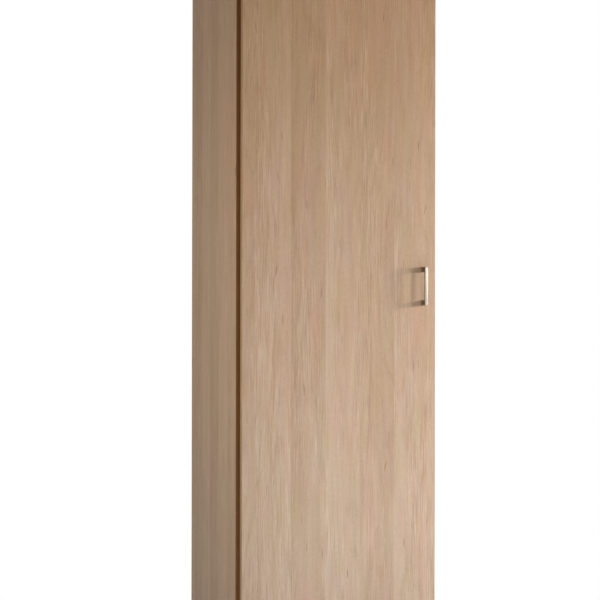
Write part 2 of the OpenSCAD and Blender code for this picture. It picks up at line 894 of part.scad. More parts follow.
// Steel cup with a rim, two screw wings and two lugs that hold the pin
module hinge_cup() {
    outer_r = cup_d / 2 - fit;
    inner_r = outer_r - cup_wall;
    lug_z = pin_l / 2 - lug_t;
    floor_y = cup_bottom + fit + cup_floor;
    difference() {
        union() {
            translate([cup_mid, pin_depth, 0]) rotate([90, 0, 0]) rotate_extrude() polygon([
                [inner_r, -flange_t], [outer_r + flange_rim, -flange_t],
                [outer_r + flange_rim, 0], [outer_r, 0],
                [outer_r, cup_depth - fit], [0, cup_depth - fit],
                [0, cup_depth - fit - cup_floor], [inner_r, cup_depth - fit - cup_floor]
            ]);
            difference() {
                translate([wing_mid, pin_depth + flange_t, 0]) rotate([90, 0, 0])
                    linear_extrude(flange_t) soft_rectangle(wing_w, cup_screws + wing_d, wing_corner);
                translate([cup_mid, pin_depth + flange_t + over, 0]) rotate([90, 0, 0])
                    cylinder(r = inner_r, h = flange_t + 2 * over);
            }
            for (s = [0, 1]) mirror([0, 0, s])
                slab([-pin_r - lug_back, floor_y - fit, lug_z],
                     [lug_w, pin_r + lug_top, pin_l / 2 + fit]);
        }
        translate([0, 0, -pin_l]) cylinder(r = pin_r + pin_seat, h = 2 * pin_l);
        for (s = [-1, 1]) translate([wing_mid, pin_depth + flange_t + over, s * cup_screws / 2])
            rotate([90, 0, 0]) cylinder(d = cup_screw_d + 2 * fit, h = flange_t + 2 * over);
    }
}

module hinge_cups() {
    color(steel) each_hinge() hinge_cup();
}

module hinge_pins() {
    color(steel) each_hinge() translate([0, 0, -pin_l / 2]) cylinder(r = pin_r, h = pin_l);
}

module hinge_cup_screws() {
    color(steel) each_hinge() for (s = [-1, 1])
        translate([wing_mid, pin_depth + flange_t, s * cup_screws / 2])
            rotate([-90, 0, 0])
                pan_screw(cup_screw_d, cup_screw_head_d, cup_screw_head_h, cup_screw_l);
}

// Bow handle: a square bar on two feet, seen from the side and extruded across
module handle() {
    half_h = handle_centres / 2 + foot_h / 2;
    corner_r = handle_corner_r;
    color(steel) translate([handle_x, door_front, handle_z]) difference() {
        rotate([90, 0, 90]) translate([0, 0, -handle_w / 2]) linear_extrude(handle_w) difference() {
            union() {
                translate([-handle_reach + corner_r, -half_h])
                    square([handle_reach - corner_r, 2 * half_h]);
                translate([-handle_reach, -half_h + corner_r])
                    square([handle_reach, 2 * (half_h - corner_r)]);
                for (s = [-1, 1])
                    translate([-handle_reach + corner_r, s * (half_h - corner_r)])
                        circle(corner_r);
            }
            translate([-handle_reach + bar_d, -half_h + foot_h])
                square([handle_reach, 2 * (half_h - foot_h)]);
        }
        for (s = [-1, 1]) translate([0, over, s * handle_centres / 2]) rotate([90, 0, 0])
            cylinder(d = handle_screw_d + fit, h = over + handle_screw_in + end_room);
    }
}

module handle_screws() {
    color(steel) for (s = [-1, 1])
        translate([handle_x, door_back, handle_z + s * handle_centres / 2])
            rotate([-90, 0, 0]) pan_screw(handle_screw_d, handle_screw_head_d,
                                          handle_screw_head_h, door_t + handle_screw_in);
}

// Soft pads on the door's rear face that meet the right side panel
module door_bumpers() {
    color("whitesmoke") for (z = [door_z0 + bumper_inset, door_z1 - bumper_inset])
        translate([door_x - (panel_t - side_reveal) / 2, door_back, z])
            rotate([-90, 0, 0])
                cylinder(d1 = bumper_d, d2 = bumper_top_d, h = door_gap - play);
}

left_side_panel();
right_side_panel();
left_front_edge();
right_front_edge();
top_panel();
top_front_edge();
bottom_panel();
bottom_front_edge();
hat_shelf();
hat_shelf_edge();
plinth_front();
plinth_rear();
back_board_upper();
back_board_lower();
back_joint_strip();
back_nails();
clothes_rail();
rail_sockets();
rail_socket_screws();
shelf_pins();
cam_locks();
cam_bolts();
cam_caps();
wood_dowels();
glides();
wall_brackets();
wall_bracket_screws();
hinge_plates();
hinge_plate_screws();
hinge_arms();
hinge_arm_screws();
hinge_side_screws();
door_panel();
door_edge_left();
door_edge_right();
door_edge_top();
door_edge_bottom();
hinge_cups();
hinge_pins();
hinge_cup_screws();
handle();
handle_screws();
door_bumpers();
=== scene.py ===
# Looks, light and camera for a tall wardrobe with one hinged door.
import math

import bmesh
import bpy
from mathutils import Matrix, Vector


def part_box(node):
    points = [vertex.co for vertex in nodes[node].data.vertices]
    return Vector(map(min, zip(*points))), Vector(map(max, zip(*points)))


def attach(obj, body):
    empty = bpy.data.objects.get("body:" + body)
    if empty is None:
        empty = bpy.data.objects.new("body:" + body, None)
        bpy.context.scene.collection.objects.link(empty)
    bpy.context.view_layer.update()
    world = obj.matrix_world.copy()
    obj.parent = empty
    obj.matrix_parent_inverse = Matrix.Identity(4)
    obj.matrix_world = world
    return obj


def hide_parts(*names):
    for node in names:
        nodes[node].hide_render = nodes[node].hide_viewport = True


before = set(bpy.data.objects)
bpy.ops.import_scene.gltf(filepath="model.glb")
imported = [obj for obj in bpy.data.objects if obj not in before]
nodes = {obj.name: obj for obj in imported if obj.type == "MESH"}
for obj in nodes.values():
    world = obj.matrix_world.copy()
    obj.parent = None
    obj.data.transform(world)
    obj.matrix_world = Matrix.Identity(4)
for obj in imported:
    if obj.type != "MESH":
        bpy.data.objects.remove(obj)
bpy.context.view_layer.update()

print("frame loaded:", len(nodes), "nodes")

# Planes of the carcass and the door, and the handle's height, read from the frame
sideLow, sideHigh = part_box("left_side_panel")
carcassLeft = sideLow.x
carcassBack = sideHigh.y
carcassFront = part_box("left_front_edge")[0].y
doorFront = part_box("door_edge_left")[0].y
handleLow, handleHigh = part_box("handle")
handleHeight = (handleLow.z + handleHigh.z) / 2

weldDistance = 1e-6  # corners of a node's loose triangles that are closer than this are one
noiseMiddle = 0.5  # value that a noise swings about


class Signal:
    # A node's output that Python's own operators combine into Math nodes
    def __init__(self, graph, socket):
        self.graph = graph
        self.socket = socket

    def math(self, operation, *others):
        return self.graph.add("ShaderNodeMath", {"operation": operation}, [self, *others])

    def flipped(self, operation, other):
        return self.graph.add("ShaderNodeMath", {"operation": operation}, [other, self])

    def __add__(self, other):
        return self.math("ADD", other)

    def __sub__(self, other):
        return self.math("SUBTRACT", other)

    def __rsub__(self, other):
        return self.flipped("SUBTRACT", other)

    def __mul__(self, other):
        return self.math("MULTIPLY", other)

    def __truediv__(self, other):
        return self.math("DIVIDE", other)

    def __pow__(self, other):
        return self.math("POWER", other)

    def __gt__(self, other):
        return self.math("GREATER_THAN", other)

    def __lt__(self, other):
        return self.math("LESS_THAN", other)

    __radd__ = __add__
    __rmul__ = __mul__


class Graph:
    # A node tree that grows by one method; short kinds get the prefix of their family
    def __init__(self, tree, prefix):
        self.tree = tree
        self.prefix = prefix
        tree.nodes.clear()

    def add(self, kind, settings, values, output=0):
        # Settings are the node's own, and values go to its inputs, by name or in their order
        node = self.tree.nodes.new(kind if "Node" in kind else self.prefix + kind)
        for key, value in settings.items():
            if key == "stops":
                self.setStops(node.color_ramp, value)
            else:
                setattr(node, key, value)
        for key, value in values.items() if isinstance(values, dict) else enumerate(values):
            self.feed(node.inputs[key], value)
        if node.outputs:
            return Signal(self, node.outputs[output])

    def setStops(self, ramp, stops):
        for place, tint in stops[2:]:
            ramp.elements.new(place)
        for element, (place, tint) in zip(ramp.elements, stops):
            element.position = place
            element.color = (*tint[:3], 1)

    def feed(self, target, value):
        # A signal is linked, each of a list of signals too, and a plain value is written
        if isinstance(value, Signal):
            self.tree.links.new(value.socket, target)
        elif isinstance(value, list):
            for part in value:
                self.tree.links.new(part.socket, target)
        else:
            target.default_value = value

    def outputs(self, signal):
        # Every output of the node that a signal comes from
        return [Signal(self, socket) for socket in signal.socket.node.outputs]

    def split(self, vector):
        return self.outputs(self.add("ShaderNodeSeparateXYZ", {}, [vector]))

    def vector(self, x, y, z):
        return self.add("ShaderNodeCombineXYZ", {}, [x, y, z])


class Paint(Graph):
    # One material and its nodes
    def __init__(self, name):
        self.material = bpy.data.materials.new(name)
        self.material.use_nodes = True
        super().__init__(self.material.node_tree, "ShaderNode")
        self.place = self.add("TexCoord", {}, {}, "Object")
        self.facing = self.split(self.add("TexCoord", {}, {}, "Normal"))
        self.x, self.y, self.z = self.split(self.place)

    def stretched(self, rates):
        # The place on the object, in cycles per metre along x, y and z
        return self.vector(self.x * rates[0], self.y * rates[1], self.z * rates[2])

    def noise(self, vector, detail=2, roughness=0.5, scale=1.0):
        return self.add("TexNoise", {}, {"Vector": vector, "Scale": scale, "Detail": detail,
                                         "Roughness": roughness})

    def cells(self, vector, output="Distance", scale=1.0, dimensions="3D"):
        return self.add("TexVoronoi", {"voronoi_dimensions": dimensions},
                        {"Vector": vector, "Scale": scale}, output)

    def ramp(self, stops, value):
        return self.add("ValToRGB", {"stops": stops}, [value])

    def blend(self, factor, first, second, mode="MIX"):
        # The node's colours have the sockets 6 and 7, and its mixed colour leaves at 2
        return self.add("Mix", {"data_type": "RGBA", "blend_type": mode},
                        {0: factor, 6: first, 7: second}, 2)

    def smooth(self, value, low, high):
        return self.add("MapRange", {"interpolation_type": "SMOOTHSTEP"},
                        {"Value": value, "From Min": low, "From Max": high})

    def show(self, shader):
        self.add("OutputMaterial", {}, {"Surface": shader})
        return self.material

    def finish(self, skin, roughness, bump, depth, metallic=0.0, gloss=0.5):
        normal = self.add("Bump", {}, {"Height": bump, "Distance": depth}, "Normal")
        return self.show(self.add("BsdfPrincipled", {}, {
            "Base Color": skin, "Roughness": roughness, "Metallic": metallic,
            "Specular IOR Level": gloss, "Normal": normal}))


def colour(red, green, blue):
    return (red, green, blue, 1.0)


def dimmed(tint, share):
    return colour(*(channel * share for channel in tint))


def shared(first, second, share):
    # The first by its share and the second by the rest
    return first * share + second * (1 - share)


chipLook = {
    "chips": 420,  # cells per metre
    "dust": 900,  # cycles per metre
    "chipShare": 0.7,
    "stops": [(0.1, (0.20, 0.12, 0.06)), (0.5, (0.42, 0.29, 0.17)), (0.9, (0.58, 0.44, 0.28))],
}


def chipboard(paint):
    # Raw core of a board: pressed chips of many tones
    chips = paint.split(paint.cells(paint.place, "Color", scale=chipLook["chips"]))[0]
    dust = paint.noise(paint.place, detail=3, roughness=0.6, scale=chipLook["dust"])
    tone = shared(chips, dust, chipLook["chipShare"])
    return paint.ramp(chipLook["stops"], tone), tone


fibreLook = {
    "screen": 2400,  # radians per metre of the mark that the press leaves
    "clouds": 7,  # cycles per metre
    "hair": (500, 500, 380),  # the same along x, y and z
    "cloudShare": 0.35,
    "hairShare": 0.45,
    "screenShare": 0.2,
    "stops": [(0.2, (0.165, 0.092, 0.046)), (0.8, (0.290, 0.178, 0.102))],
}


def fibreboard(paint):
    # Raw back of a hardboard sheet: brown fibres with the mark of the screen it was pressed on
    waves = [(way * fibreLook["screen"]).math("SINE") for way in (paint.x, paint.z)]
    screen = 0.5 * waves[0] * waves[1] + 0.5
    clouds = paint.noise(paint.place, detail=3, scale=fibreLook["clouds"])
    hair = paint.noise(paint.stretched(fibreLook["hair"]), detail=3, roughness=0.6)
    tone = clouds * fibreLook["cloudShare"] + hair * fibreLook["hairShare"]
    tone = tone + screen * fibreLook["screenShare"]
    return paint.ramp(fibreLook["stops"], tone), tone


woodLook = {
    # Tone of the print, from its dark lines to its light ones
    "stops": [(0.08, (0.355, 0.218, 0.134)), (0.5, (0.470, 0.322, 0.218)),
              (0.92, (0.580, 0.430, 0.315))],
    # Hues that the brown drifts to: value of the drift where each is full, strength and hue
    "drifts": {
        "drift": [(0.74, 0.42, colour(0.520, 0.300, 0.215)),
                  (0.26, 0.36, colour(0.420, 0.330, 0.190))],
        "turn": [(0.74, 0.30, colour(0.460, 0.318, 0.165)),
                 (0.26, 0.32, colour(0.462, 0.335, 0.275))],
    },
    # Painted light: the boards are tinted a little warmer towards the top and a little cooler
    # towards the floor, as the light falls there:
    # heights between which the painted tint comes in, and the tint
    "paintedLightTints": [(1.0, 1.95, colour(1.0, 0.91, 0.785)), (1.0, 0.15, colour(0.94, 0.965, 1.0))],
    "roughness": 0.56,
    "gloss": 0.2,
    "depth": 0.00010,
    # How much the layers, the dark marks and a raw core raise the skin and roughen it
    "rise": {"fibre": 0.5, "lines": 0.3, "marks": -0.9, "core": 2.5},
    "rougher": {"lines": 0.14, "marks": 0.12, "core": 0.3},

    "plankPitch": 0.1035,
    "plankShift": 3.7,  # slices of the noise from one plank to the next
    "joint": -0.045,  # a joint between planks, in metres to the right of the door's middle
    "planksLeft": 3,  # planks to the left of that joint
    # The door's planks from left to right: tone at the left edge, at one third, at the right edge
    "doorPlanks": [(0.56, 0.53, 0.46), (0.54, 0.56, 0.60), (0.35, 0.43, 0.47),
                   (0.66, 0.53, 0.47), (0.43, 0.41, 0.38), (0.46, 0.47, 0.44),
                   (0.45, 0.45, 0.45)],
    "tonePlaces": (0.0, 0.333, 0.999),  # where on a plank its three tones lie
    # On other boards chance sets a plank's tone between these, and it falls across the plank
    "toneLow": 0.37,
    "toneHigh": 0.63,
    "toneFall": 0.08,

    # Noises of the figure: cycles per metre across and along the grain, and slice of the noise
    "layers": {
        "lean": {"across": 7, "along": 1.9, "slice": 0},
        "slow": {"across": 5.3, "along": 1.3, "slice": 3, "detail": 1},
        "cloud": {"across": 17, "along": 2.0, "slice": 1, "roughness": 0.55},
        "patch": {"across": 62, "along": 3.2, "slice": 5},
        "bend": {"across": 16, "along": 2.4, "slice": 0},
        "figure": {"across": 10, "along": 0.9, "slice": 0, "detail": 1.5, "roughness": 0.45},
        "zone": {"across": 24, "along": 1.7, "slice": 7, "detail": 1},
        "lines": {"across": 430, "along": 11, "slice": 9, "roughness": 0.6},
        "fibre": {"across": 820, "along": 105, "slice": 2, "detail": 3, "roughness": 0.6},
        "fine": {"across": 1900, "along": 150, "slice": 0, "roughness": 0.6},
        "drift": {"across": 26, "along": 3.6, "slice": 13, "roughness": 0.6},
        "turn": {"across": 38, "along": 6.5, "slice": 19, "roughness": 0.6},
        "dashes": {"across": 1150, "along": 55, "slice": 3, "detail": 1},
        "poreField": {"across": 26, "along": 3.4, "slice": 17, "detail": 1},
    },
    "leanReach": 0.008,  # metres over which the grain wanders
    "bendReach": 0.05,  # metres over which the growth rings bend
    "ringRate": 105,
    "ringSharpness": 5,
    "ringMiddle": 0.25,
    "busyFrom": 0.40,  # value of the zone where the lines begin to gather
    "busyFull": 0.62,
    # How much each layer moves the tone; in busy places the lines get their second amount too
    "amounts": {"cloud": 0.25, "patch": 0.41, "fibre": 0.66, "fine": 0.26, "slow": 0.18,
                "rings": 0.09, "lines": 0.30, "busyLines": 1.26},
}


def grainLayer(paint, name, across, along, shift):
    # One of the figure's noises, drawn out along the grain
    look = woodLook["layers"][name]
    place = paint.vector(across * look["across"], along * look["along"], shift + look["slice"])
    return paint.noise(place, look.get("detail", 2), look.get("roughness", 0.5))


def chosenTone(paint, across, planks):
    # Tone of planks that are given from left to right
    first = woodLook["joint"] - woodLook["planksLeft"] * woodLook["plankPitch"]
    count = len(planks)
    stops = [((i + place) / count, (tone,) * 3) for i, plank in enumerate(planks)
             for place, tone in zip(woodLook["tonePlaces"], plank)]
    return paint.split(paint.ramp(stops, (across - first) / (woodLook["plankPitch"] * count)))[0]


def chanceTone(paint, plank, index, seed):
    # Tone of planks that chance picks, a little darker towards their right edge
    chance = paint.add("TexWhiteNoise", {"noise_dimensions": "1D"}, {"W": index + seed})
    spread = woodLook["toneHigh"] - woodLook["toneLow"]
    return chance * spread + woodLook["toneLow"] - (plank - index - 0.5) * woodLook["toneFall"]


# Dark marks of the print. The size of a mark gives the shares of a cell at which it fades out
# and is full, and share says how many of the cells have one.
markLook = {
    "tint": colour(0.150, 0.085, 0.048),
    "pores": {"dash": (0.64, 0.76), "field": (0.42, 0.62), "strength": 0.36},
    "splits": {"across": 42, "along": 2.8, "shift": 5.3, "bend": 1.6, "size": (0.062, 0.02),
               "share": 0.32, "strength": 0.55},
    "knots": {"across": 7.3, "along": 3.1, "slice": 31, "bendAcross": 3, "bendAlong": 4,
              "size": (0.050, 0.012), "share": 0.30, "strength": 0.34},
}


def darkMarks(paint, across, along, bend, shift):
    # Pores in short dashes, here and there a longer split that leans off the grain, and pin knots
    look = markLook["pores"]
    dashes = paint.smooth(grainLayer(paint, "dashes", across, along, shift), *look["dash"])
    field = paint.smooth(grainLayer(paint, "poreField", across, along, shift), *look["field"])
    pores = dashes * field * look["strength"]

    look = markLook["splits"]
    place = paint.vector((across + bend * look["bend"]) * look["across"],
                         along * look["along"] + shift * look["shift"], 0.0)
    splits = paint.smooth(paint.cells(place, dimensions="2D"), *look["size"])
    chance = paint.split(paint.cells(place, "Color", dimensions="2D"))[0]
    splits = splits * (chance > 1 - look["share"]) * look["strength"]

    look = markLook["knots"]
    place = paint.vector(across * look["across"] + bend * look["bendAcross"],
                         along * look["along"] + bend * look["bendAlong"],
                         shift + look["slice"])
    knots = paint.smooth(paint.cells(place), *look["size"])
    chance = paint.split(paint.cells(place, "Color"))[1]
    knots = knots * (chance > 1 - look["share"]) * look["strength"]
    return pores.math("MAXIMUM", splits).math("MAXIMUM", knots)


def woodDecor(name, grain, width, seed, start=0.0, planks=None, contrast=1.0, raw=None,
              core=chipboard):
    # Printed laminate: planks, growth figure, fibres, marks and slow drifts of hue, with painted
    # light that tints it warmer at the top and cooler near the floor. The grain runs along one
    # axis, and planks of one width lie side by side along the other, counted from start. raw
    # finds the faces that show the bare core.
    paint = Paint(name)
    ways = {"x": paint.x, "y": paint.y, "z": paint.z}
    ways["xy"] = paint.x + paint.y  # runs across an upright board's face and on over its edges
    along = ways[grain]
    across = ways[width] - start
    plank = (across - woodLook["joint"]) / woodLook["plankPitch"]
    index = plank.math("FLOOR")
    shift = index * woodLook["plankShift"] + seed
    if planks:
        tone = chosenTone(paint, across, planks)
    else:
        tone = chanceTone(paint, plank, index, seed)

    # Each plank's grain wanders a little, and its rings are long thin tongues, as of a plank
    # that was cut along the trunk
    lean = grainLayer(paint, "lean", across, along, shift) - noiseMiddle
    side = across + lean * woodLook["leanReach"]
    bend = grainLayer(paint, "bend", side, along, shift) - noiseMiddle
    bend = bend * woodLook["bendReach"]
    figure = grainLayer(paint, "figure", side + bend, along, shift)
    rings = 0.5 * (figure * woodLook["ringRate"]).math("SINE") + 0.5
    rings = rings ** woodLook["ringSharpness"]

    # Thin straight lines gather in some places and leave others calm
    zone = grainLayer(paint, "zone", side, along, shift)
    busy = paint.smooth(zone, woodLook["busyFrom"], woodLook["busyFull"])
    amounts = dict(woodLook["amounts"])
    amounts["lines"] = busy * amounts["busyLines"] + amounts["lines"]
    layers = {key: grainLayer(paint, key, side, along, shift) - noiseMiddle
              for key in ("cloud", "patch", "lines", "fibre", "fine")}
    layers["slow"] = grainLayer(paint, "slow", index, along, seed) - noiseMiddle
    relief = (woodLook["ringMiddle"] - rings) * amounts["rings"]
    for key, layer in layers.items():
        relief = relief + layer * amounts[key]
    wood = paint.ramp(woodLook["stops"], tone + relief * contrast)

    for key, hues in woodLook["drifts"].items():
        drift = grainLayer(paint, key, side, along, shift)
        for full, strength, hue in hues:
            wood = paint.blend(paint.smooth(drift, noiseMiddle, full) * strength, wood, hue)
    # Painted light: the warmer tint is multiplied in towards the top and the cooler one towards
    # the floor
    for low, high, tint in woodLook["paintedLightTints"]:
        wood = paint.blend(paint.smooth(paint.z, low, high), wood, tint, "MULTIPLY")
    marks = darkMarks(paint, side, along, bend, shift)
    wood = paint.blend(marks, wood, markLook["tint"])

    rise = woodLook["rise"]
    rougher = woodLook["rougher"]
    height = layers["fibre"] * rise["fibre"] + layers["lines"] * rise["lines"]
    height = height + marks * rise["marks"]
    rough = layers["lines"] * rougher["lines"] + marks * rougher["marks"] + woodLook["roughness"]
    if raw:
        bare = raw(paint)
        skin, coreTone = core(paint)
        wood = paint.blend(bare, wood, skin)
        height = height * (1 - bare) + coreTone * bare * rise["core"]
        rough = rough + bare * rougher["core"]
    return paint.finish(wood, rough, height, woodLook["depth"], gloss=woodLook["gloss"])


squareOn = 0.9  # a face looks along an axis if that part of its normal is more than this


def rearFace(paint):
    return paint.facing[1] > squareOn


def rearAndUnder(paint):
    return rearFace(paint).math("MAXIMUM", paint.facing[2] < -squareOn)


bandLook = {
    "stops": [(0.25, (0.190, 0.086, 0.031)), (0.75, (0.285, 0.135, 0.052))],
    "lines": (900, 900, 9),  # cycles per metre along x, y and z
    "clouds": 14,
    "lineShare": 0.5,
    "roughness": 0.5,
    "roughnessSpread": 0.2,
    "depth": 0.00006,
    "gloss": 0.2,
}


def darkBand(name):
    # Brown plastic edge band with faint rolled lines
    paint = Paint(name)
    lines = paint.noise(paint.stretched(bandLook["lines"]), detail=3, roughness=0.6)
    clouds = paint.noise(paint.place, detail=3, scale=bandLook["clouds"])
    brown = paint.ramp(bandLook["stops"], shared(lines, clouds, bandLook["lineShare"]))
    rough = bandLook["roughness"] + (clouds - noiseMiddle) * bandLook["roughnessSpread"]
    return paint.finish(brown, rough, lines, bandLook["depth"], gloss=bandLook["gloss"])


metalLook = {
    "clouds": 60,  # cycles per metre
    "scratchShare": 0.5,
    "shade": 0.84,  # darkest part of the skin as a share of its tint
    "sideFrom": 0.08,  # how far a face looks along x where its painted shade and rougher skin begin and are full
    "sideFull": 0.42,
    "sideRoughness": 0.1,
    "kinds": {
        # The handle's side tint is painted shade: its sides are darkened and browned to stand for
        # the shaded door that they mirror
        "handleMetal": {"tint": (0.60, 0.545, 0.475), "roughness": 0.25,
                        "scratches": (1400, 1400, 30), "depth": 0.000003, "spread": 0.06,
                        "sideShadeTint": (0.35, 0.268, 0.200)},
        "nickelSteel": {"tint": (0.74, 0.715, 0.675), "roughness": 0.33},
        "zincSteel": {"tint": (0.62, 0.63, 0.62), "roughness": 0.36, "spread": 0.2},
        "chromeTube": {"tint": (0.78, 0.79, 0.80), "roughness": 0.10,
                       "scratches": (30, 900, 900), "depth": 0.00001, "spread": 0.06},
    },
}


def metal(name, tint, roughness, scratches=(260, 260, 260), depth=0.00003, spread=0.12,
          sideShadeTint=None):
    # Plated or brushed metal; scratches says how many there are per metre along each axis, spread
    # how far the roughness varies, and the side tint is a painted shade for the faces that look
    # along x
    paint = Paint(name)
    scratch = paint.noise(paint.stretched(scratches), detail=3, roughness=0.65)
    cloud = paint.noise(paint.place, detail=3, roughness=0.55, scale=metalLook["clouds"])
    skin = paint.blend(shared(scratch, cloud, metalLook["scratchShare"]),
                       dimmed(tint, metalLook["shade"]), colour(*tint))
    rough = roughness + (scratch - noiseMiddle + cloud - noiseMiddle) * spread
    # Painted shade: faces that look along x get the darker, browner side tint, standing for the
    # shaded wood they mirror, and a rougher skin
    if sideShadeTint:
        aside = paint.facing[0].math("ABSOLUTE")
        beside = paint.smooth(aside, metalLook["sideFrom"], metalLook["sideFull"])
        skin = paint.blend(beside, skin, colour(*sideShadeTint))
        rough = rough + beside * metalLook["sideRoughness"]
    return paint.finish(skin, rough, scratch, depth, metallic=1.0)


plasticLook = {
    "grain": 700,  # cycles per metre
    "clouds": 35,
    "grainShare": 0.4,
    "shade": 0.86,  # darkest part of the skin as a share of its tint
    "roughnessSpread": 0.15,
    "depth": 0.00008,
    "kinds": {
        "whitePlastic": {"tint": (0.78, 0.76, 0.71), "roughness": 0.5},
        "capPlastic": {"tint": (0.47, 0.33, 0.235), "roughness": 0.5},
        "glidePlastic": {"tint": (0.045, 0.045, 0.045), "roughness": 0.45},
        "bumperPad": {"tint": (0.72, 0.72, 0.69), "roughness": 0.35},
    },
}


def plastic(name, tint, roughness):
    # Moulded plastic with a fine spark-eroded grain
    paint = Paint(name)
    grain = paint.noise(paint.place, scale=plasticLook["grain"])
    cloud = paint.noise(paint.place, scale=plasticLook["clouds"])
    skin = paint.blend(shared(grain, cloud, plasticLook["grainShare"]),
                       dimmed(tint, plasticLook["shade"]), colour(*tint))
    rough = roughness + (cloud - noiseMiddle) * plasticLook["roughnessSpread"]
    return paint.finish(skin, rough, grain, plasticLook["depth"])


beechLook = {
    "fibres": (40, 600, 600),  # cycles per metre along x, y and z
    "stops": [(0.25, (0.42, 0.27, 0.15)), (0.75, (0.62, 0.45, 0.28))],
    "roughness": 0.6,
    "depth": 0.0001,
}


def rawBeech(name):
    paint = Paint(name)
    fibres = paint.noise(paint.stretched(beechLook["fibres"]), detail=3, roughness=0.6)
    return paint.finish(paint.ramp(beechLook["stops"], fibres), beechLook["roughness"], fibres,
                        beechLook["depth"])


# Printed boards: axes of the grain and of the planks' width, and each one's own figure
boards = {
    "doorFace": {"grain": "z", "width": "x", "seed": 0.0, "planks": woodLook["doorPlanks"]},
    "doorBand": {"grain": "z", "width": "xy", "seed": 4.0, "start": doorFront},
    "doorBandLevel": {"grain": "x", "width": "y", "seed": 6.0},
    "leftSide": {"grain": "z", "width": "xy", "seed": 21.0, "contrast": 1.3,
                 "raw": rearAndUnder},
    "rightSide": {"grain": "z", "width": "xy", "seed": 37.0, "contrast": 1.3,
                  "raw": rearAndUnder},
    "levelBoard": {"grain": "x", "width": "y", "seed": 50.0, "raw": rearFace},
    "plinthBoard": {"grain": "x", "width": "z", "seed": 61.0, "raw": rearAndUnder},
    "backBoard": {"grain": "z", "width": "x", "seed": 71.0, "raw": rearFace,
                  "core": fibreboard},
}

paints = {name: woodDecor(name, **look) for name, look in boards.items()}
paints.update({name: metal(name, **look) for name, look in metalLook["kinds"].items()})
paints.update({name: plastic(name, **look) for name, look in plasticLook["kinds"].items()})
paints["edgeDark"] = darkBand("edgeDark")
paints["dowelWood"] = rawBeech("dowelWood")

# The nodes that have each finish
finishes = {
    "leftSide": ["left_side_panel"],
    "rightSide": ["right_side_panel"],
    "edgeDark": ["left_front_edge", "right_front_edge", "top_front_edge", "bottom_front_edge"],
    "levelBoard": ["top_panel", "bottom_panel", "hat_shelf", "hat_shelf_edge"],
    "plinthBoard": ["plinth_front", "plinth_rear"],
    "backBoard": ["back_board_upper", "back_board_lower"],
    "doorFace": ["door_panel"],
    "doorBand": ["door_edge_left", "door_edge_right"],
    "doorBandLevel": ["door_edge_top", "door_edge_bottom"],
    "dowelWood": ["wood_dowels"],
    "handleMetal": ["handle"],
    "chromeTube": ["clothes_rail"],
    "nickelSteel": ["shelf_pins", "hinge_plates", "hinge_arms", "hinge_cups", "hinge_pins"],
    "zincSteel": ["back_nails", "rail_sockets", "rail_socket_screws", "cam_locks", "cam_bolts",
                  "wall_brackets", "wall_bracket_screws", "hinge_plate_screws",
                  "hinge_arm_screws", "hinge_side_screws", "hinge_cup_screws", "handle_screws"],
    "whitePlastic": ["back_joint_strip"],
    "capPlastic": ["cam_caps"],
    "glidePlastic": ["glides"],
    "bumperPad": ["door_bumpers"],
}

for finish, names in finishes.items():
    for name in names:
        slots = nodes[name].data.materials
        slots.clear()
        slots.append(paints[finish])
print("materials set on", sum(map(len, finishes.values())), "nodes")


handleLook = {
    "bevel": 0.0010,
    "segments": 4,
    "flatAngle": 1,  # degrees under which neighbouring faces become one
    "sharpAngle": 30,  # degrees over which an edge is rounded
}


def makeHandle():
    # A welded copy of the node with its edges rounded by a small bevel
    mesh = nodes["handle"].data.copy()
    shell = bmesh.new()
    shell.from_mesh(mesh)
    bmesh.ops.remove_doubles(shell, verts=shell.verts, dist=weldDistance)
    bmesh.ops.dissolve_limit(shell, angle_limit=math.radians(handleLook["flatAngle"]),
                             verts=shell.verts, edges=shell.edges)
    bmesh.ops.recalc_face_normals(shell, faces=shell.faces)
    shell.to_mesh(mesh)
    shell.free()
    piece = bpy.data.objects.new("handle_bow", mesh)
    bpy.context.scene.collection.objects.link(piece)
    bevel = piece.modifiers.new("roundEdges", "BEVEL")
    bevel.width = handleLook["bevel"]
    bevel.segments = handleLook["segments"]
    bevel.limit_method = "ANGLE"
    bevel.angle_limit = math.radians(handleLook["sharpAngle"])
    for face in mesh.polygons:
        face.use_smooth = True
    return piece


handle = makeHandle()
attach(handle, "door")
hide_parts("handle")
print("handle made")


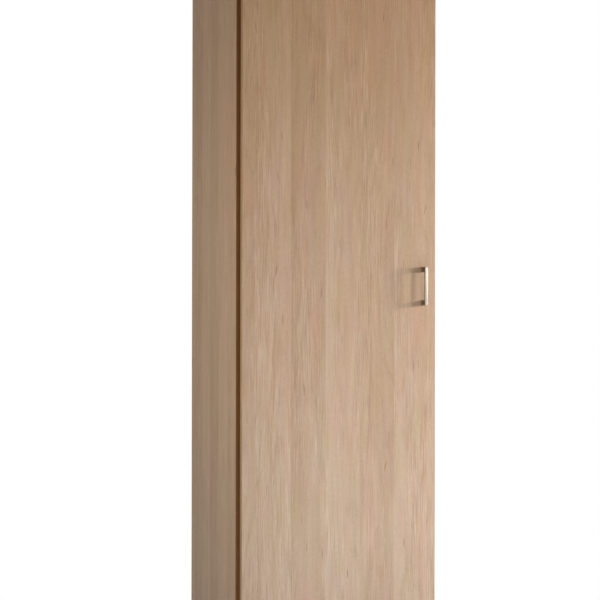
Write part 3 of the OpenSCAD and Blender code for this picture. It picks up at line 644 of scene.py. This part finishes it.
screwLook = {
    "coreShare": 0.74,  # core of the thread as a share of the thread's width
    "recessShare": 0.52,  # cross recess as a share of the head's width
    "recessDepth": 0.65,  # and its depth as a share of the head's height
    "armShare": 0.24,  # arm of the cross as a share of the recess
    "tipShare": 0.22,  # tapered tip as a share of the shank's length
    "tipWidth": 0.3,  # end of the tip as a share of the core
    "domeShare": 0.26,  # how far the head closes in towards its top
    "domePower": 3,
    "headSides": 28,
    "headRings": 6,
    "topRings": 2,
    "rodSides": 16,
    "rodRings": 9,
    "ridgeSides": 3,
    "turnSteps": 12,  # points on each turn of the thread
    "creaseAngle": 0.6,  # radians over which an edge stays sharp
    "seed": 7,
    # Axis that the heads face, and head's height, thread's width and pitch in metres
    "kinds": {
        "plateScrews": {"node": "hinge_plate_screws", "body": "root", "along": "x",
                        "head": 0.0022, "thread": 0.0050, "pitch": 0.0018},
        "cupScrews": {"node": "hinge_cup_screws", "body": "door", "along": "y",
                      "head": 0.0018, "thread": 0.0035, "pitch": 0.0014},
        "clampScrews": {"node": "hinge_arm_screws", "body": "root", "along": "x",
                        "head": 0.0025, "thread": 0.0050, "pitch": 0.0008},
        "sideScrews": {"node": "hinge_side_screws", "body": "root", "along": "x",
                       "head": 0.0015, "thread": 0.0050, "pitch": 0.0008},
        # The heads of these face left on the right-hand side
        "socketScrews": {"node": "rail_socket_screws", "body": "root", "along": "x",
                         "head": 0.0020, "thread": 0.0035, "pitch": 0.0014, "mirrored": True},
        "bracketScrews": {"node": "wall_bracket_screws", "body": "root", "along": "z",
                          "head": 0.0020, "thread": 0.0035, "pitch": 0.0014},
        "handleScrews": {"node": "handle_screws", "body": "door", "along": "y",
                         "head": 0.0025, "thread": 0.0040, "pitch": 0.0007},
    },
}


def screwHead(graph, width, height):
    # Domed head: a cylinder that closes in towards its top, with a cross cut into it
    x, y, z = graph.split(graph.add("InputPosition", {}, {}))
    drum = graph.add("MeshCylinder", {}, {
        "Vertices": screwLook["headSides"], "Side Segments": screwLook["headRings"],
        "Fill Segments": screwLook["topRings"], "Radius": width * 0.5, "Depth": height})
    rise = z / height + 0.5
    narrow = 1 - rise ** screwLook["domePower"] * screwLook["domeShare"]
    dome = graph.add("SetPosition", {}, {"Geometry": drum, "Position": graph.vector(
        x * narrow, y * narrow, z - height * 0.5)})
    recess = width * screwLook["recessShare"]
    arm = recess * screwLook["armShare"]
    deep = height * (2 * screwLook["recessDepth"])
    cuts = [graph.add("MeshCube", {}, {"Size": graph.vector(*size)})
            for size in ((recess, arm, deep), (arm, recess, deep))]
    return graph.add("MeshBoolean", {"operation": "DIFFERENCE", "solver": "EXACT"},
                     {"Mesh 1": dome, "Mesh 2": cuts})


def screwShank(graph, headHeight, threadWidth, length, pitch):
    # Core with a tapered tip, and a thread wound round it
    x, y, z = graph.split(graph.add("InputPosition", {}, {}))
    reach = length - headHeight
    core = threadWidth * (0.5 * screwLook["coreShare"])
    rod = graph.add("MeshCylinder", {}, {
        "Vertices": screwLook["rodSides"], "Side Segments": screwLook["rodRings"],
        "Radius": core, "Depth": reach})
    taper = (z / reach + 0.5) / screwLook["tipShare"] + screwLook["tipWidth"]
    taper = taper.math("MINIMUM", 1.0)
    shank = graph.add("SetPosition", {}, {"Geometry": rod, "Position": graph.vector(
        x * taper, y * taper, z - headHeight - reach * 0.5)})
    wound = reach * (1 - screwLook["tipShare"])
    helix = graph.add("CurveSpiral", {}, {
        "Resolution": screwLook["turnSteps"], "Rotations": wound / pitch,
        "Start Radius": core, "End Radius": core, "Height": wound})
    ridge = graph.add("CurvePrimitiveCircle", {}, {
        "Resolution": screwLook["ridgeSides"],
        "Radius": threadWidth * (0.5 - 0.5 * screwLook["coreShare"])})
    coil = graph.add("CurveToMesh", {}, {"Curve": helix, "Profile Curve": ridge,
                                         "Fill Caps": True})
    thread = graph.add("Transform", {}, {"Geometry": coil, "Translation": graph.vector(
        0.0, 0.0, 0 - headHeight - wound)})
    return [thread, shank]


def screwTree():
    # A screw of given sizes on each point, turned to the point's aim, head's top on the point
    tree = bpy.data.node_groups.new("screwShape", "GeometryNodeTree")
    graph = Graph(tree, "GeometryNode")
    tree.interface.new_socket("points", in_out="INPUT", socket_type="NodeSocketGeometry")
    sizes = ("headWidth", "headHeight", "threadWidth", "length", "pitch")
    for size in sizes:
        tree.interface.new_socket(size, in_out="INPUT", socket_type="NodeSocketFloat")
    tree.interface.new_socket("finish", in_out="INPUT", socket_type="NodeSocketMaterial")
    tree.interface.new_socket("screws", in_out="OUTPUT", socket_type="NodeSocketGeometry")
    entry = graph.outputs(graph.add("NodeGroupInput", {}, {}))
    points = entry[0]
    headWidth, headHeight, threadWidth, length, pitch = entry[1:1 + len(sizes)]
    finish = entry[1 + len(sizes)]

    parts = screwShank(graph, headHeight, threadWidth, length, pitch)
    parts.append(screwHead(graph, headWidth, headHeight))
    screw = graph.add("JoinGeometry", {}, {"Geometry": parts})

    aim = graph.add("InputNamedAttribute", {"data_type": "FLOAT_VECTOR"}, {"Name": "aim"})
    turned = graph.add("FunctionNodeAlignRotationToVector", {"axis": "Z"}, {"Vector": aim})
    placed = graph.add("InstanceOnPoints", {}, {"Points": points, "Instance": screw,
                                                "Rotation": turned})
    chance = graph.add("FunctionNodeRandomValue", {"data_type": "FLOAT"},
                       {"Max": math.pi / 2, "Seed": screwLook["seed"]}, 1)
    spun = graph.add("RotateInstances", {}, {"Instances": placed,
                                             "Rotation": graph.vector(0.0, 0.0, chance)})
    real = graph.add("RealizeInstances", {}, {"Geometry": spun})
    bend = graph.add("InputMeshEdgeAngle", {}, {}, "Unsigned Angle")
    smooth = graph.add("SetShadeSmooth", {"domain": "FACE"}, {"Geometry": real})
    creased = graph.add("SetShadeSmooth", {"domain": "EDGE"}, {
        "Geometry": smooth, "Selection": bend > screwLook["creaseAngle"], "Shade Smooth": False})
    done = graph.add("SetMaterial", {}, {"Geometry": creased, "Material": finish})
    graph.add("NodeGroupOutput", {}, [done])
    return tree


def islands(nodeName):
    # Corners of the box round each separate solid of a node
    shell = bmesh.new()
    shell.from_mesh(nodes[nodeName].data)
    bmesh.ops.remove_doubles(shell, verts=shell.verts, dist=weldDistance)
    seen = set()
    boxes = []
    for start in shell.verts:
        if start in seen:
            continue
        seen.add(start)
        group = [start]
        for vert in group:
            for edge in vert.link_edges:
                other = edge.other_vert(vert)
                if other not in seen:
                    seen.add(other)
                    group.append(other)
        boxes.append([Vector([pick(vert.co[i] for vert in group) for i in range(3)])
                      for pick in (min, max)])
    shell.free()
    return boxes


def makeScrews(name, look, tree, finish):
    # The screws of one CAD node as one piece, each in the place of its own plain solid
    nodeName = look["node"]
    body = look["body"]
    boxes = islands(nodeName)
    along = "xyz".index(look["along"])
    across = (along + 1) % 3
    spots = []
    aims = []
    for low, high in boxes:
        spot = (low + high) / 2
        flip = look.get("mirrored", False) and spot.x > 0
        spot[along] = low[along] if flip else high[along]
        spots.append(spot)
        aim = Vector()
        aim[along] = -1 if flip else 1
        aims.extend(aim)
    low, high = boxes[0]
    mesh = bpy.data.meshes.new(name)
    mesh.from_pydata(spots, [], [])
    mesh.attributes.new("aim", "FLOAT_VECTOR", "POINT").data.foreach_set("vector", aims)
    holder = bpy.data.objects.new(name + "Points", mesh)
    bpy.context.scene.collection.objects.link(holder)
    modifier = holder.modifiers.new("screws", "NODES")
    modifier.node_group = tree
    given = {"headWidth": high[across] - low[across], "headHeight": look["head"],
             "threadWidth": look["thread"], "length": high[along] - low[along],
             "pitch": look["pitch"], "finish": finish}
    for item in tree.interface.items_tree:
        if item.name in given:
            modifier[item.identifier] = given[item.name]
    seen = bpy.context.evaluated_depsgraph_get()
    shape = bpy.data.meshes.new_from_object(holder.evaluated_get(seen))
    bpy.data.objects.remove(holder)
    piece = bpy.data.objects.new(name, shape)
    bpy.context.scene.collection.objects.link(piece)
    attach(piece, body)
    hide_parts(nodeName)
    print(name, "made:", len(spots), "screws,", len(shape.polygons), "faces")


screws = screwTree()
for name, look in screwLook["kinds"].items():
    makeScrews(name, look, screws, paints["zincSteel"])


stageLook = {
    "halfWidth": 9.0,
    "floorColour": colour(0.74, 0.74, 0.73),
    "greyColour": colour(0.68, 0.68, 0.67),
    "grain": 30,  # cycles per metre of the blend between the two colours
    "greyShare": 0.5,
    "frontReach": 0.55,  # metres before the object in which the floor shows its shadow
    "sideReach": 0.16,  # the same beside the object
    "rearReach": 0.09,  # and behind it
    "shadowShare": 0.35,
    "fillColour": colour(1.0, 0.985, 0.965),
    "fillStrength": 0.07,
    # What the camera sees of the floor and the world
    "white": {"Color": colour(1, 1, 1), "Strength": 1.0},
}


def seenByEye(graph):
    # 1 for what the camera, metal and glass show, 0 for what lights the object
    paths = [graph.add("LightPath", {}, {}, "Is " + kind + " Ray")
             for kind in ("Camera", "Glossy", "Transmission")]
    return paths[0].math("MAXIMUM", paths[1]).math("MAXIMUM", paths[2])


def makeFloor():
    half = stageLook["halfWidth"]
    mesh = bpy.data.meshes.new("floor")
    corners = [(-half, -half, 0), (half, -half, 0), (half, half, 0), (-half, half, 0)]
    mesh.from_pydata(corners, [], [(0, 1, 2, 3)])
    floor = bpy.data.objects.new("floor", mesh)
    bpy.context.scene.collection.objects.link(floor)
    paint = Paint("floorPaint")
    grain = paint.noise(paint.place, detail=3, scale=stageLook["grain"])
    skin = paint.blend(grain * stageLook["greyShare"], stageLook["floorColour"],
                       stageLook["greyColour"])
    matte = paint.add("BsdfDiffuse", {}, {"Color": skin})
    glow = paint.add("Emission", {}, stageLook["white"])
    aside = (paint.x.math("ABSOLUTE") + carcassLeft) / stageLook["sideReach"]
    before = (carcassFront - paint.y) / stageLook["frontReach"]
    behind = (paint.y - carcassBack) / stageLook["rearReach"]
    far = aside.math("MAXIMUM", before).math("MAXIMUM", behind)
    near = 1 - paint.smooth(far, 0.0, 1.0)
    share = seenByEye(paint) * (1 - near * stageLook["shadowShare"])
    mesh.materials.append(paint.show(paint.add("MixShader", {}, [share, matte, glow])))


def makeWorld():
    world = bpy.data.worlds.new("studio")
    bpy.context.scene.world = world
    world.use_nodes = True
    graph = Graph(world.node_tree, "ShaderNode")
    fill = graph.add("Background", {}, {"Color": stageLook["fillColour"],
                                        "Strength": stageLook["fillStrength"]})
    white = graph.add("Background", {}, stageLook["white"])
    mixed = graph.add("MixShader", {}, [seenByEye(graph), fill, white])
    graph.add("OutputWorld", {}, {"Surface": mixed})


# Each lamp's place round the point of the door's front that is level with the handle: degrees
# to the right of the door's normal, then metres out and up; powers are in watts
lamps = {
    "key": {"offNormal": 54, "height": 0.25, "distance": 2.5, "size": 0.37, "power": 27.6,
            "colour": (0.98, 0.98, 0.99)},
    "graze": {"offNormal": 74, "height": 0.24, "distance": 2.6, "size": 0.35, "power": 41,
              "colour": (1.0, 0.985, 0.955)},
    "low": {"offNormal": 14, "height": -0.98, "distance": 0.85, "size": 0.5, "power": 9.7,
            "colour": (0.79, 0.89, 1.0)},
    "left": {"offNormal": -75, "height": -0.25, "distance": 2.2, "size": 0.8, "power": 9.3,
             "colour": (1.0, 0.885, 0.655), "aim": 0.18, "spread": 120},
    "front": {"offNormal": 32, "height": 0.25, "distance": 2.4, "size": 1.3, "power": 7,
              "colour": (1.0, 0.975, 0.95), "inMetal": False},
    "glint": {"offNormal": 24, "height": 0.42, "distance": 2.6, "size": 0.5, "power": 1.3,
              "colour": (1.0, 0.98, 0.94)},
    "above": {"offNormal": 175, "height": 2.26, "distance": 1.03, "size": 0.7, "power": 16,
              "colour": (1.0, 0.98, 0.96), "aim": 0.95},
    "rear": {"offNormal": 165, "height": 0.5, "distance": 2.6, "size": 1.2, "power": 34,
             "colour": (1.0, 0.98, 0.95)},
}


def makeLamp(name, look):
    # An area lamp aimed at that point, or at a point aim metres above it
    target = Vector((0.0, doorFront, handleHeight))
    turn = math.radians(look["offNormal"])
    place = target + Vector((math.sin(turn), -math.cos(turn), 0)) * look["distance"]
    place.z += look["height"]
    target.z += look.get("aim", 0.0)
    data = bpy.data.lights.new(name, "AREA")
    data.shape = "SQUARE"
    data.size = look["size"]
    data.energy = look["power"]
    data.color = look["colour"]
    data.spread = math.radians(look.get("spread", 180))
    lamp = bpy.data.objects.new(name, data)
    bpy.context.scene.collection.objects.link(lamp)
    lamp.location = place
    lamp.rotation_euler = (target - place).to_track_quat("-Z", "Y").to_euler()
    lamp.visible_glossy = look.get("inMetal", True)


# The camera stands left of the wardrobe and looks at it level, turned to the right
cameraLook = {
    "leftOfSide": 0.786,
    "beforeFront": 3.000,
    "height": 0.9945,
    "turn": 17.94,  # degrees
    "roll": 0.105,
    "lens": 67.44,  # millimetres
    "sensor": 36.0,
    "farthest": 60,  # metres that the camera can see
}


def makeCamera():
    data = bpy.data.cameras.new("photoView")
    data.sensor_width = cameraLook["sensor"]
    data.lens = cameraLook["lens"]
    data.clip_end = cameraLook["farthest"]
    camera = bpy.data.objects.new("photoView", data)
    bpy.context.scene.collection.objects.link(camera)
    camera.location = (carcassLeft - cameraLook["leftOfSide"],
                       carcassFront - cameraLook["beforeFront"], cameraLook["height"])
    camera.rotation_euler = (math.radians(90), -math.radians(cameraLook["roll"]),
                             -math.radians(cameraLook["turn"]))
    bpy.context.scene.camera = camera


makeFloor()
makeWorld()
for name, look in lamps.items():
    makeLamp(name, look)
makeCamera()
bpy.context.scene.view_settings.view_transform = "Standard"
print("stage, light and camera ready")
